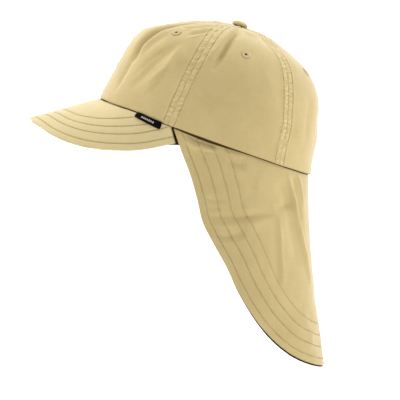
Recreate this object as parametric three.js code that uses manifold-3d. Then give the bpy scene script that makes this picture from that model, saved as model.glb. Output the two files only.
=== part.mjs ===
// Legionnaire cap in the form that it takes on a head: six cloth panels, a button, embroidered
// eyelets, a stitched peak with a dark underside, a lined neck flap and a small side tab.
// Millimetres, +Z up, the front towards -Y, the wearer's left towards +X.
// The origin is the centre of the head opening.
import * as THREE from "three";
import { mergeVertices } from "three/addons/utils/BufferGeometryUtils.js";
import Module from "manifold-3d";

const DEGREE = Math.PI / 180;

// Head opening and crown
const FRONT_REACH = 96.5; // from the button's axis to the rim's front
const BACK_REACH = 106.5; // from the button's axis to the rim's back
const HALF_WIDTH = 85; // from the button's axis to the rim's side
const BUTTON_FORWARD = 5; // the button's axis ahead of the opening's centre
const CROWN_HEIGHT = 104; // from the rim's plane to the cloth under the button
const WEAR_TILT = 20 * DEGREE; // how far the rim slopes down to the back on a head
const RIM_HOLD = 12; // above the rim, over which its seam still flattens the folds
const CROWN_WALL = 1.4;
const PANEL_PUFF = 1.3; // how far a panel swells between its seams
const FOLD_HEIGHT = 4; // of the strongest folds and dents in the crown and the flap
const FOLD_WIDTH = 8; // of the widest of them, from its line to where it fades
const SEAM_GAP = 0.3; // between neighbouring panels
const SEAT_GAP = 0.3; // between a piece and what it is sewn to

// Eyelets and button
const EYELET_RADIUS = 4.7;
const EYELET_HOLE_RADIUS = 1.1;
const EYELET_SLEEVE = 0.7; // wall of the sleeve that lines the hole
const EYELET_RELIEF = 0.7;
const BUTTON_RADIUS = 7.4;
const BUTTON_RELIEF = 4.4;
const BUTTON_STEM_RADIUS = 2.2;
const BUTTON_STEM_LENGTH = 4;
const BUTTON_LIFT = 0.8; // from the crown's top to the button's underside
const BUTTON_LEAN = 4 * DEGREE; // the button leans forward from the crown's axis

// Peak
const PEAK_END = 73; // azimuth in degrees where the peak's end meets the rim
const PEAK_AHEAD = 55; // the tip ahead of the rim's front, in the rim's plane
const PEAK_DROP = 38; // the tip below the rim's plane
const PEAK_THICKNESS = 2.6;
const PEAK_FLANGE = 2; // sewn edge that reaches inside the crown's wall
const PEAK_FLANGE_THICKNESS = 1; // at the sewn edge, where the peak's board has ended
const UNDERSIDE_THICKNESS = 1;
const UNDERSIDE_MARGIN = 1.2; // the underside cloth ends this far short of the peak's edge

// Side tab
const TAB_FRONT = 52.3; // azimuth in degrees of its front end
const TAB_BACK = 68.1;
const TAB_LENGTH = 4.8; // how far it hangs from the rim's seam
const TAB_THICKNESS = 1;
const TAB_OUTSET = 0.6; // from the rim's edge to the tab's top

// Neck flap
const FLAP_START = 76; // azimuth in degrees of the flap's front edge at the rim
const FLAP_LENGTH = 174; // from the rim to the hem at the centre back
const FLAP_WALL = 1;
const FLAP_TUCK = 8; // how far the flap reaches up inside the crown
const FLAP_FLARE = 15.5; // how far the hem stands out at the centre back
const FLAP_CLEARANCE = 0.6; // between the flap and the crown's wall
const FLAP_HOLD = 5; // below the rim, over which its seam still flattens the folds
const LINING_GAP = 0.5;
const LINING_SHORT = 0.008; // the lining ends this share of the flap's length above the shell's hem

// Crown profiles from the rim to the button, at even steps. Reaches are shares of FRONT_REACH,
// BACK_REACH and HALF_WIDTH, and rises are shares of CROWN_HEIGHT.
const CROWN_PROFILES = [
  { front: 1.0, frontRise: 0.0, back: 1.0, backRise: 0.0, side: 1.0, sideRise: 0.0 },
  { front: 0.977, frontRise: 0.157, back: 0.967, backRise: 0.154, side: 1.008, sideRise: 0.145 },
  { front: 0.95, frontRise: 0.317, back: 0.942, backRise: 0.308, side: 1.0, sideRise: 0.302 },
  { front: 0.924, frontRise: 0.474, back: 0.901, backRise: 0.452, side: 0.972, sideRise: 0.448 },
  { front: 0.888, frontRise: 0.6, back: 0.864, backRise: 0.577, side: 0.92, sideRise: 0.58 },
  { front: 0.82, frontRise: 0.698, back: 0.806, backRise: 0.688, side: 0.842, sideRise: 0.697 },
  { front: 0.7, frontRise: 0.772, back: 0.72, backRise: 0.788, side: 0.735, sideRise: 0.797 },
  { front: 0.565, frontRise: 0.836, back: 0.597, backRise: 0.875, side: 0.6, sideRise: 0.877 },
  { front: 0.4, frontRise: 0.911, back: 0.421, backRise: 0.945, side: 0.43, sideRise: 0.938 },
  { front: 0.2, frontRise: 0.97, back: 0.22, backRise: 0.998, side: 0.225, sideRise: 0.982 },
  { front: 0.0, frontRise: 1.0, back: 0.0, backRise: 1.0, side: 0.0, sideRise: 1.0 },
];

// Azimuths in degrees of the seams between the panels, from the rim to the button at even steps.
const SEAMS = [
  { front: 0, side: 71.6, rear: 133.6, back: 180 },
  { front: 0, side: 72.0, rear: 132.7, back: 180 },
  { front: 0, side: 72.9, rear: 130.2, back: 180 },
  { front: 0, side: 68.5, rear: 132.5, back: 180 },
  { front: 0, side: 62.0, rear: 140.0, back: 180 },
];

// Dents and soft folds of the crown on the wearer's left. Each runs from one point to another,
// given by azimuth in degrees and share of the way up. Heights are shares of FOLD_HEIGHT, negative
// for a dent, widths are shares of FOLD_WIDTH, and far is the share that the other side repeats.
const CROWN_FOLDS = [
  { azimuth: 14, up: 0.2, toAzimuth: 24, toUp: 0.46, height: -0.8, width: 0.62, far: 0.2 },
  { azimuth: 25, up: 0.5, toAzimuth: 29, toUp: 0.78, height: -0.9, width: 0.56, far: 0.2 },
  { azimuth: 33, up: 0.25, toAzimuth: 38, toUp: 0.5, height: 0.25, width: 0.75, far: 0.5 },
  { azimuth: 78, up: 0.5, toAzimuth: 79, toUp: 0.86, height: 0.4, width: 0.5, far: 0.5 },
  { azimuth: 85, up: 0.45, toAzimuth: 88, toUp: 0.87, height: -0.7, width: 0.5, far: 0.5 },
  { azimuth: 58, up: 0.5, toAzimuth: 42, toUp: 0.1, height: -0.38, width: 0.88, far: 0.8 },
  { azimuth: 64, up: 0.42, toAzimuth: 50, toUp: 0.12, height: 0.28, width: 0.88, far: 0.8 },
  { azimuth: 52, up: 0.6, toAzimuth: 63, toUp: 0.74, height: 0.3, width: 0.38, far: 0.8 },
  { azimuth: 83, up: 0.26, toAzimuth: 95, toUp: 0.24, height: -0.25, width: 0.88, far: 0.8 },
];

// Outer edge of the peak from its centre to its end, at even steps. out is a share of HALF_WIDTH,
// forward a share of the tip's distance from the button's axis and drop a share of PEAK_DROP.
const PEAK_EDGE = [
  { out: 0.0, forward: 1.0, drop: 1.02 },
  { out: 0.2, forward: 0.98, drop: 1.025 },
  { out: 0.385, forward: 0.925, drop: 1.065 },
  { out: 0.56, forward: 0.84, drop: 1.14 },
  { out: 0.7, forward: 0.73, drop: 1.165 },
  { out: 0.81, forward: 0.605, drop: 1.12 },
  { out: 0.89, forward: 0.465, drop: 0.99 },
  { out: 0.945, forward: 0.3, drop: 0.745 },
  { out: 0.965, forward: 0.125, drop: 0.33 },
];

// Hem of the flap from its front edge to the centre back. drop is a share of FLAP_LENGTH.
const FLAP_HEM = [
  { azimuth: FLAP_START, drop: 0.01 },
  { azimuth: 80, drop: 0.12 },
  { azimuth: 84, drop: 0.209 },
  { azimuth: 88, drop: 0.319 },
  { azimuth: 91, drop: 0.424 },
  { azimuth: 96, drop: 0.505 },
  { azimuth: 103, drop: 0.606 },
  { azimuth: 110, drop: 0.724 },
  { azimuth: 119, drop: 0.832 },
  { azimuth: 129, drop: 0.907 },
  { azimuth: 140, drop: 0.958 },
  { azimuth: 152, drop: 0.982 },
  { azimuth: 166, drop: 0.995 },
  { azimuth: 180, drop: 1.0 },
];

// Folds of the flap on the wearer's left, read as the crown's are, with drop as a share of
// FLAP_LENGTH in place of the way up.
const FLAP_FOLDS = [
  { azimuth: 84, drop: 0.0, toAzimuth: 99, toDrop: 0.01, height: -0.8, width: 0.62, far: 0.8 },
  { azimuth: 87, drop: 0.09, toAzimuth: 100, toDrop: 0.07, height: 0.33, width: 0.75, far: 0.8 },
  { azimuth: 103, drop: 0.07, toAzimuth: 114, toDrop: 0.06, height: -0.38, width: 0.75, far: 0.8 },
  { azimuth: 143, drop: 0.04, toAzimuth: 155, toDrop: 0.31, height: 0.65, width: 0.88, far: 0.8 },
  { azimuth: 155, drop: 0.31, toAzimuth: 162, toDrop: 0.6, height: 0.55, width: 1, far: 0.8 },
  { azimuth: 136, drop: 0.1, toAzimuth: 146, toDrop: 0.5, height: -0.4, width: 1, far: 0.8 },
  { azimuth: 131, drop: 0.2, toAzimuth: 136, toDrop: 0.62, height: -0.23, width: 0.75, far: 0.8 },
  { azimuth: 94, drop: 0.33, toAzimuth: 110, toDrop: 0.285, height: -0.23, width: 0.75, far: 0.8 },
  { azimuth: 104, drop: 0.37, toAzimuth: 132, toDrop: 0.3, height: -0.33, width: 0.75, far: 0.8 },
  { azimuth: 95, drop: 0.465, toAzimuth: 111, toDrop: 0.465, height: -0.33, width: 0.75, far: 0.8 },
];

const SHELL = { color: 0xcdb98a, roughness: 0.85, metalness: 0 };
const THREAD = { color: 0xc2ab7c, roughness: 0.8, metalness: 0 };
const DARK_CLOTH = { color: 0x2b241c, roughness: 0.9, metalness: 0 };
const BLACK_TAPE = { color: 0x121212, roughness: 0.7, metalness: 0 };

// Reads a column of a table at a share from 0 to 1, on a smooth curve through its even rows.
function read(table, column, share) {
  const last = table.length - 1;
  const place = THREE.MathUtils.clamp(share, 0, 1) * last;
  const row = Math.min(Math.floor(place), last - 1);
  const value = (k) => {
    if (k < 0) return 2 * table[0][column] - table[1][column];
    if (k > last) return 2 * table[last][column] - table[last - 1][column];
    return table[k][column];
  };
  const [a, b, c, d] = [row - 1, row, row + 1, row + 2].map(value);
  const t = place - row;
  return 0.5 * (2 * b + (c - a) * t + (2 * a - 5 * b + 4 * c - d) * t * t + (3 * b - a - 3 * c + d) * t ** 3);
}

// Height that a table of folds gives at a point. The point's two coordinates are turned to
// millimetres by the scales, and each fold fades with the distance from its line.
function relief(folds, rise, toRise, azimuth, share, perDegree, perShare) {
  let height = 0;
  for (const fold of folds) {
    for (const [side, strength] of [[1, 1], [-1, fold.far]]) {
      const line = new THREE.Vector2(
        (fold.toAzimuth - fold.azimuth) * perDegree,
        (fold[toRise] - fold[rise]) * perShare,
      );
      const point = new THREE.Vector2(
        (side * azimuth - fold.azimuth) * perDegree,
        (share - fold[rise]) * perShare,
      );
      const along = THREE.MathUtils.clamp(point.dot(line) / line.lengthSq(), 0, 1);
      const away = point.addScaledVector(line, -along).length();
      height += strength * FOLD_HEIGHT * fold.height * Math.exp(-((away / (FOLD_WIDTH * fold.width)) ** 2));
    }
  }
  return height;
}

// The crown's plain surface in the rim's frame, by azimuth in degrees and share of the way up.
function crownBase(azimuth, up) {
  const angle = azimuth * DEGREE;
  const ahead = Math.cos(angle);
  const half = ahead > 0 ? "front" : "back";
  const reach = (ahead > 0 ? FRONT_REACH : BACK_REACH) * read(CROWN_PROFILES, half, up);
  const endRise = read(CROWN_PROFILES, half + "Rise", up);
  const sideRise = read(CROWN_PROFILES, "sideRise", up);
  return new THREE.Vector3(
    HALF_WIDTH * read(CROWN_PROFILES, "side", up) * Math.sin(angle),
    -BUTTON_FORWARD - reach * ahead,
    CROWN_HEIGHT * (sideRise + (endRise - sideRise) * ahead * ahead),
  );
}

// How the plain surface runs at a point: its outward normal and its length per degree and
// per share of the way up.
function crownRun(azimuth, up) {
  const turn = 0.5;
  const climb = 0.01;
  const low = Math.max(up - climb, 0);
  const high = Math.min(up + climb, 0.995);
  const around = crownBase(azimuth + turn, up).sub(crownBase(azimuth - turn, up));
  const upward = crownBase(azimuth, high).sub(crownBase(azimuth, low));
  return {
    perDegree: around.length() / (2 * turn),
    perShare: upward.length() / (high - low),
    normal: around.cross(upward).normalize(),
  };
}

// A point on the crown's plain surface, moved out along its normal.
function crownSeat(azimuth, up, out) {
  return crownBase(azimuth, up).addScaledVector(crownRun(azimuth, up).normal, out);
}

// A point on a panel's cloth: the plain surface with the panel's swell and the folds.
function panelPoint(azimuth, up, across, out) {
  const run = crownRun(azimuth, up);
  const swell = PANEL_PUFF * Math.sin(Math.PI * across) ** 0.7 * Math.sin(Math.PI * up) ** 0.6;
  const folded = relief(CROWN_FOLDS, "up", "toUp", azimuth, up, run.perDegree, run.perShare);
  const settled = Math.min((up * CROWN_HEIGHT) / RIM_HOLD, 1);
  return crownBase(azimuth, up).addScaledVector(run.normal, swell + folded * settled + out);
}

// A closed sheet over a grid. pointAt(s, r, face) gives the outer face (0) and the inner (1)
// at shares s across, to the right seen from outside, and r upwards.
function sheet(columns, rows, pointAt) {
  const positions = [];
  for (const face of [0, 1]) {
    for (let i = 0; i <= columns; i++) {
      for (let j = 0; j <= rows; j++) {
        positions.push(...pointAt(i / columns, j / rows, face));
      }
    }
  }
  const outer = (i, j) => i * (rows + 1) + j;
  const inner = (i, j) => (columns + 1) * (rows + 1) + outer(i, j);
  const indices = [];
  const quad = (a, b, c, d) => indices.push(a, b, c, a, c, d);
  for (let i = 0; i < columns; i++) {
    for (let j = 0; j < rows; j++) {
      quad(outer(i, j), outer(i + 1, j), outer(i + 1, j + 1), outer(i, j + 1));
      quad(inner(i, j), inner(i, j + 1), inner(i + 1, j + 1), inner(i + 1, j));
    }
    quad(inner(i, 0), inner(i + 1, 0), outer(i + 1, 0), outer(i, 0));
    quad(outer(i, rows), outer(i + 1, rows), inner(i + 1, rows), inner(i, rows));
  }
  for (let j = 0; j < rows; j++) {
    quad(outer(0, j), outer(0, j + 1), inner(0, j + 1), inner(0, j));
    quad(inner(columns, j), inner(columns, j + 1), outer(columns, j + 1), outer(columns, j));
  }
  const geometry = new THREE.BufferGeometry();
  geometry.setAttribute("position", new THREE.Float32BufferAttribute(positions, 3));
  geometry.setIndex(indices);
  return geometry;
}

const manifold = await Module();
manifold.setup();

function toSolid(geometry) {
  const bare = new THREE.BufferGeometry();
  bare.setAttribute("position", geometry.getAttribute("position"));
  bare.setIndex(geometry.getIndex());
  const merged = mergeVertices(bare, 1e-3);
  return new manifold.Manifold(
    new manifold.Mesh({
      numProp: 3,
      vertProperties: merged.getAttribute("position").array,
      triVerts: new Uint32Array(merged.getIndex().array),
    }),
  );
}

// Cuts the second geometry out of the first.
function cut(geometry, tool) {
  const made = toSolid(geometry).subtract(toSolid(tool)).getMesh();
  const result = new THREE.BufferGeometry();
  result.setAttribute("position", new THREE.Float32BufferAttribute(made.vertProperties, 3));
  result.setIndex([...made.triVerts]);
  return result;
}

function meshOf(name, geometry, finish) {
  geometry.computeVertexNormals();
  const mesh = new THREE.Mesh(geometry, new THREE.MeshStandardMaterial(finish));
  mesh.name = name;
  return mesh;
}

// The share of the way up where the crown is this far from the button's axis.
function upAtReach(distance) {
  let [low, high] = [0.5, 1];
  for (let k = 0; k < 30; k++) {
    const middle = (low + high) / 2;
    if (HALF_WIDTH * read(CROWN_PROFILES, "side", middle) > distance) low = middle;
    else high = middle;
  }
  return low;
}

// Puts an object at a place with its +Z along a direction.
function stand(object, place, direction) {
  object.position.copy(place);
  object.quaternion.setFromUnitVectors(new THREE.Vector3(0, 0, 1), direction);
  return object;
}

// The panels of a side, each between two seams, and the azimuth and share of the way up of its
// eyelet.
const PANELS = [
  { name: "front_panel", from: "front", to: "side", columns: 9, azimuth: 46, up: 0.555 },
  { name: "side_panel", from: "side", to: "rear", columns: 9, azimuth: 99.2, up: 0.575 },
  { name: "rear_panel", from: "rear", to: "back", columns: 7, azimuth: 160, up: 0.625 },
];
const PANEL_ROWS = 14;

// side is 1 on the wearer's left and -1 on the right.
function panelGeometry(panel, side) {
  const top = upAtReach(BUTTON_STEM_RADIUS + BUTTON_LIFT);
  return sheet(panel.columns, PANEL_ROWS, (s, r, face) => {
    const across = side > 0 ? s : 1 - s;
    const up = r * top;
    const [from, to] = [panel.from, panel.to].map((seam) => read(SEAMS, seam, up));
    const gap = SEAM_GAP / 2 / crownRun((from + to) / 2, up).perDegree;
    const azimuth = side * THREE.MathUtils.lerp(from + gap, to - gap, across);
    return panelPoint(azimuth, up, across, face ? -CROWN_WALL : 0);
  });
}

function eyeletGeometry() {
  const hole = EYELET_HOLE_RADIUS;
  const sleeve = hole + EYELET_SLEEVE;
  const profile = [
    [hole, -CROWN_WALL - SEAT_GAP],
    [sleeve, -CROWN_WALL - SEAT_GAP],
    [sleeve, SEAT_GAP],
    [EYELET_RADIUS, SEAT_GAP],
    [EYELET_RADIUS - 0.3, SEAT_GAP + EYELET_RELIEF],
    [(sleeve + EYELET_RADIUS) / 2, SEAT_GAP + EYELET_RELIEF * 0.6],
    [hole, SEAT_GAP + EYELET_RELIEF * 0.8],
    [hole, -CROWN_WALL - SEAT_GAP],
  ].map(([x, y]) => new THREE.Vector2(x, y));
  return new THREE.LatheGeometry(profile, 12).rotateX(Math.PI / 2);
}

function buttonGeometry() {
  const profile = [
    [0, -BUTTON_STEM_LENGTH],
    [BUTTON_STEM_RADIUS, -BUTTON_STEM_LENGTH],
    [BUTTON_STEM_RADIUS, 0],
    [BUTTON_RADIUS * 0.93, 0],
    [BUTTON_RADIUS, BUTTON_RELIEF * 0.28],
    [BUTTON_RADIUS * 0.9, BUTTON_RELIEF * 0.62],
    [BUTTON_RADIUS * 0.58, BUTTON_RELIEF * 0.9],
    [0, BUTTON_RELIEF],
  ].map(([x, y]) => new THREE.Vector2(x, y));
  return new THREE.LatheGeometry(profile, 16).rotateX(Math.PI / 2);
}

// Adds the panels and eyelets of one side: 1 is the wearer's left, -1 the right.
function addPanels(crown, side, word) {
  for (const panel of PANELS) {
    const [from, to] = [panel.from, panel.to].map((seam) => read(SEAMS, seam, panel.up));
    const place = panelPoint(side * panel.azimuth, panel.up, (panel.azimuth - from) / (to - from), 0);
    const direction = crownRun(side * panel.azimuth, panel.up).normal;
    const holeRadius = EYELET_HOLE_RADIUS + EYELET_SLEEVE + SEAT_GAP;
    const hole = new THREE.CylinderGeometry(holeRadius, holeRadius, 6 * CROWN_WALL, 10);
    hole.rotateX(Math.PI / 2);
    const drill = stand(new THREE.Object3D(), place, direction);
    drill.updateMatrix();
    hole.applyMatrix4(drill.matrix);
    crown.add(meshOf(`${panel.name}_${word}`, cut(panelGeometry(panel, side), hole), SHELL));
    crown.add(stand(meshOf(`${panel.name}_${word}_eyelet`, eyeletGeometry(), THREAD), place, direction));
  }
}

// A point on the peak in the rim's frame. across runs from -1 at the wearer's right end to 1 at
// the left, and outward from 0 at the sewn edge, over the rim at FLANGE_SHARE, to 1 at the edge.
const FLANGE_SHARE = 0.12;

function peakTop(across, outward) {
  const azimuth = across * PEAK_END;
  const rim = crownBase(azimuth, 0);
  rim.z -= SEAT_GAP;
  if (outward < FLANGE_SHARE) {
    const inward = crownRun(azimuth, 0).normal.setZ(0).normalize();
    const depth = (1 - outward / FLANGE_SHARE) * (CROWN_WALL + PEAK_FLANGE);
    return rim.addScaledVector(inward, -depth);
  }
  const share = Math.abs(across);
  const edge = new THREE.Vector3(
    Math.sign(across) * HALF_WIDTH * read(PEAK_EDGE, "out", share),
    -BUTTON_FORWARD - (FRONT_REACH + PEAK_AHEAD) * read(PEAK_EDGE, "forward", share),
    -PEAK_DROP * read(PEAK_EDGE, "drop", share),
  );
  return rim.lerp(edge, (outward - FLANGE_SHARE) / (1 - FLANGE_SHARE));
}

// The same point moved below the peak's top along the surface's normal.
function peakPoint(across, outward, below) {
  const step = 0.01;
  const [a, b] = [Math.max(across - step, -1), Math.min(across + step, 1)];
  const [c, d] = [Math.max(outward - step, 0), Math.min(outward + step, 1)];
  const sideways = peakTop(b, outward).sub(peakTop(a, outward));
  const inwards = peakTop(across, c).sub(peakTop(across, d));
  return peakTop(across, outward).addScaledVector(sideways.cross(inwards).normalize(), -below);
}

const PEAK_COLUMNS = 28;
const PEAK_SHARES = [1, 0.82, 0.64, 0.46, 0.3, FLANGE_SHARE, 0];
const UNDERSIDE_ROWS = 4; // of the peak's rows, from its edge inwards

function peakGeometry() {
  return sheet(PEAK_COLUMNS, PEAK_SHARES.length - 1, (s, r, face) => {
    const outward = PEAK_SHARES[Math.round(r * (PEAK_SHARES.length - 1))];
    const thickness = outward > 0 ? PEAK_THICKNESS : PEAK_FLANGE_THICKNESS;
    return peakPoint(2 * s - 1, outward, face ? thickness : 0);
  });
}

// The underside follows the peak's grid, so that the two keep their gap.
function undersideGeometry() {
  const top = PEAK_THICKNESS + 2 * SEAT_GAP;
  const [edge, end] = [1 - UNDERSIDE_MARGIN / PEAK_AHEAD, 1 - UNDERSIDE_MARGIN / FRONT_REACH];
  return sheet(PEAK_COLUMNS, UNDERSIDE_ROWS, (s, r, face) => {
    const across = THREE.MathUtils.clamp(2 * s - 1, -end, end);
    const outward = Math.min(PEAK_SHARES[Math.round(r * UNDERSIDE_ROWS)], edge);
    return peakPoint(across, outward, face ? top + UNDERSIDE_THICKNESS : top);
  });
}

// The tab lies on the peak and hangs from the seam under the rim.
function tabGeometry() {
  return sheet(6, 3, (s, r, face) => {
    const across = THREE.MathUtils.lerp(TAB_FRONT, TAB_BACK, s) / PEAK_END;
    const width = peakTop(across, 1).distanceTo(peakTop(across, FLANGE_SHARE));
    const below = TAB_OUTSET + (1 - r) * TAB_LENGTH;
    const outward = FLANGE_SHARE + (1 - FLANGE_SHARE) * (below / width);
    return peakPoint(across, outward, face ? -SEAT_GAP : -SEAT_GAP - TAB_THICKNESS);
  });
}

// Turns a point from the rim's frame to the worn cap's.
function worn(point) {
  return point.applyAxisAngle(new THREE.Vector3(1, 0, 0), -WEAR_TILT);
}

// A point on the flap in the worn frame. Azimuth runs in degrees from the front over the left
// to the back, 180, and on to the right. drop is the distance below the rim, negative where the
// flap is tucked into the crown, and depth is the distance inside the shell's outer face.
function flapPoint(azimuth, drop, depth) {
  const inset = CROWN_WALL + FLAP_CLEARANCE + depth;
  if (drop < 0) return worn(crownSeat(azimuth, -drop / crownRun(azimuth, 0).perShare, -inset));
  const rim = worn(crownSeat(azimuth, 0, -inset));
  const outward = worn(crownRun(azimuth, 0).normal).setZ(0).normalize();
  const share = drop / FLAP_LENGTH;
  const back = (1 - Math.cos(azimuth * DEGREE)) / 2;
  const signed = azimuth > 180 ? azimuth - 360 : azimuth;
  const perDegree = crownRun(azimuth, 0).perDegree;
  const folded = relief(FLAP_FOLDS, "drop", "toDrop", signed, share, perDegree, FLAP_LENGTH);
  const settled = Math.min(drop / FLAP_HOLD, 1);
  const flare = FLAP_FLARE * back ** 3 * share ** 1.7;
  return rim.addScaledVector(outward, flare + folded * settled).setZ(rim.z - drop);
}

const FLAP_COLUMNS = 40;
const FLAP_ROWS = [0, 0.13, 0.26, 0.39, 0.52, 0.64, 0.75, 0.84, 0.9, 0.94, 0.965, 0.985, 1];

// One ply of the flap. short is how far, as a share of the flap's length, its hem stays back.
function flapGeometry(depth, wall, short) {
  return sheet(FLAP_COLUMNS, FLAP_ROWS.length - 1, (s, r, face) => {
    const way = 1 - Math.abs(2 * s - 1);
    const hemAzimuth = read(FLAP_HEM, "azimuth", way);
    const topAzimuth = THREE.MathUtils.lerp(FLAP_START, 180, way);
    const hemDrop = Math.max(read(FLAP_HEM, "drop", way) - short, 0.002) * FLAP_LENGTH;
    const height = FLAP_ROWS[Math.round(r * (FLAP_ROWS.length - 1))];
    const turned = THREE.MathUtils.lerp(hemAzimuth, topAzimuth, height);
    const azimuth = s > 0.5 ? 360 - turned : turned;
    const drop = THREE.MathUtils.lerp(hemDrop, -FLAP_TUCK, height);
    return flapPoint(azimuth, drop, depth + (face ? wall : 0));
  });
}

const cap = new THREE.Group();
const crown = new THREE.Group();
crown.rotation.x = -WEAR_TILT;
addPanels(crown, 1, "left");
addPanels(crown, -1, "right");
const buttonPlace = crownBase(0, 1);
const buttonAxis = new THREE.Vector3(0, -Math.sin(BUTTON_LEAN), Math.cos(BUTTON_LEAN));
buttonPlace.addScaledVector(buttonAxis, BUTTON_LIFT);
crown.add(stand(meshOf("button", buttonGeometry(), SHELL), buttonPlace, buttonAxis));
crown.add(meshOf("peak", peakGeometry(), SHELL));
crown.add(meshOf("peak_underside", undersideGeometry(), DARK_CLOTH));
crown.add(meshOf("side_tab", tabGeometry(), BLACK_TAPE));
cap.add(crown);
cap.add(meshOf("neck_flap", flapGeometry(0, FLAP_WALL, 0), SHELL));
const lining = flapGeometry(FLAP_WALL + LINING_GAP, FLAP_WALL, LINING_SHORT);
cap.add(meshOf("neck_flap_lining", lining, DARK_CLOTH));

export default cap;
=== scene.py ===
import bpy
import numpy as np
from mathutils import Matrix, Vector


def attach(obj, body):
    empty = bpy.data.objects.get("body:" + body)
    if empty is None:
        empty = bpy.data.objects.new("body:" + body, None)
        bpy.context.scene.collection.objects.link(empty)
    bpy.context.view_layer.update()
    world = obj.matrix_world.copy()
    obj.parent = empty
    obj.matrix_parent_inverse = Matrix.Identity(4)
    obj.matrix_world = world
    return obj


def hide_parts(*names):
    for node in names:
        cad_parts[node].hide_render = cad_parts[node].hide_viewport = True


# Legionnaire cap in its worn form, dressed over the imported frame: six crown panels with embroidered
# eyelets, a button, a stitched peak with a dark underside, a lined neck flap and a small side tab.
# Shapes are worked out in millimetres and turned to metres as each mesh is made.
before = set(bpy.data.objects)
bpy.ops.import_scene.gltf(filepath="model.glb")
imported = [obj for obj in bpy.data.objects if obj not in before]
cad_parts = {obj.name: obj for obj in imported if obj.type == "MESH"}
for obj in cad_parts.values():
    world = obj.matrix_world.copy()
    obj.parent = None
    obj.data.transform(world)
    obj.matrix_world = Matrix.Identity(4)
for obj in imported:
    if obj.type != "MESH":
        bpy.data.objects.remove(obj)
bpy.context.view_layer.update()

# Crown. Six panels of tan poplin are sewn edge to edge, their seams are pressed open, and a row of
# stitches runs 5.3 mm to each side of every seam. The thread draws the cloth into small puckers, and
# the soft, unlined front falls into a long dent beside its centre seam.
FRONT_REACH = 96.5  # from the button's axis to the front of the rim
BACK_REACH = 106.5
HALF_WIDTH = 85.0
BUTTON_FORWARD = 5.0  # ahead of the rim's centre
CROWN_HEIGHT = 104.0
WEAR_TILT = np.radians(20)  # the rim's slope down to the back
RIM_HOLD = 12.0  # the folds fade over this height at the rim's seam
RIM_ARCH = 1.1  # the rim's rise over each end of the peak
CROWN_WALL = 1.4
PANEL_PUFF = 1.3  # a panel's middle swells by this past its seams
PANEL_RUN = 150.0  # along a panel from its rim to its tip
CROWN_TOP_REACH = 3.2  # the panels end at the button's stem
CROWN_PROFILES = {
    "front": [1.0, 0.977, 0.95, 0.924, 0.888, 0.82, 0.7, 0.565, 0.4, 0.2, 0.0],
    "front_rise": [0.0, 0.157, 0.317, 0.474, 0.6, 0.698, 0.772, 0.836, 0.911, 0.97, 1.0],
    "back": [1.0, 0.967, 0.942, 0.901, 0.864, 0.806, 0.72, 0.597, 0.421, 0.22, 0.0],
    "back_rise": [0.0, 0.154, 0.308, 0.452, 0.577, 0.688, 0.788, 0.875, 0.945, 0.998, 1.0],
    "side": [1.0, 1.008, 1.0, 0.972, 0.92, 0.842, 0.735, 0.6, 0.43, 0.225, 0.0],
    "side_rise": [0.0, 0.145, 0.302, 0.448, 0.58, 0.697, 0.797, 0.877, 0.938, 0.982, 1.0],
}
SEAMS = {  # azimuths in degrees from the rim to the button
    "front": [0, 0, 0, 0, 0],
    "side": [71.6, 72.0, 72.9, 68.5, 62.0],
    "rear": [133.6, 132.7, 130.2, 132.5, 140.0],
    "back": [180, 180, 180, 180, 180],
}
# Folds and creases: the points each one runs through as azimuth and share of the way up, its height
# and width in mm, and the share of the height that the wearer's right side repeats.
CROWN_FOLDS = [
    ([(26.5, 0.05), (27.2, 0.20), (29, 0.28), (27.5, 0.40)], -1.8, 3.6, 0.3),
    ([(27.5, 0.25), (27.2, 0.37), (29.2, 0.46), (29, 0.55), (28, 0.65), (31, 0.86)], -7.9, 4.0, 0.2),
    ([(30, 0.30), (36, 0.50), (42, 0.64)], 1.4, 6.0, 0.5),
    ([(77.5, 0.38), (80.3, 0.55), (81.5, 0.70), (82, 0.92)], 2.4, 3.4, 0.5),
    ([(84.0, 0.38), (85.5, 0.55), (86.5, 0.70), (90, 0.96)], -4.4, 4.0, 0.5),
    ([(58, 0.50), (49, 0.30), (40, 0.10)], -2.0, 5.5, 0.8),
    ([(64, 0.42), (50, 0.12)], 1.3, 6.0, 0.8),
    ([(43, 0.52), (35, 0.30)], -1.1, 4.0, 0.6),
    ([(52, 0.60), (63, 0.74)], 1.2, 3.0, 0.8),
    ([(83, 0.26), (95, 0.24), (106, 0.27)], -1.3, 5.0, 0.8),
    ([(112, 0.50), (124, 0.30)], 0.8, 6.0, 0.6),
    ([(150, 0.15), (152, 0.45)], -0.9, 5.0, 0.6),
    ([(98, 0.85), (112, 0.84), (124, 0.83)], 1.1, 7.0, 0.5),
]
CROWN_CREASES = [
    ([(23, 0.76), (32, 0.83), (44, 0.91)], 0.8, 1.8, 0.4),
    ([(30, 0.72), (48, 0.88)], -0.8, 1.8, 0.4),
    ([(41, 0.62), (52, 0.70), (60, 0.80)], -0.8, 1.8, 0.5),
    ([(44, 0.60), (53, 0.665), (62, 0.76)], 0.7, 1.8, 0.5),
    ([(55, 0.56), (65, 0.69)], -0.9, 1.6, 0.6),
    ([(58, 0.535), (66, 0.66)], 0.7, 1.6, 0.6),
    ([(82.5, 0.42), (84.0, 0.58), (84.6, 0.78)], -1.2, 1.5, 0.5),
    ([(62, 0.34), (70, 0.37), (79, 0.36)], -0.6, 1.6, 0.8),
    ([(74, 0.46), (82, 0.42)], -0.5, 1.6, 0.8),
    ([(76, 0.27), (86, 0.22)], 0.5, 2.4, 0.8),
    ([(49, 0.17), (57, 0.29), (58, 0.46)], 0.9, 2.4, 0.8),
    ([(50, 0.07), (57, 0.19), (60, 0.36)], -0.7, 2.2, 0.8),
    ([(36, 0.16), (52, 0.43)], -0.6, 2.2, 0.8),
]


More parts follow.
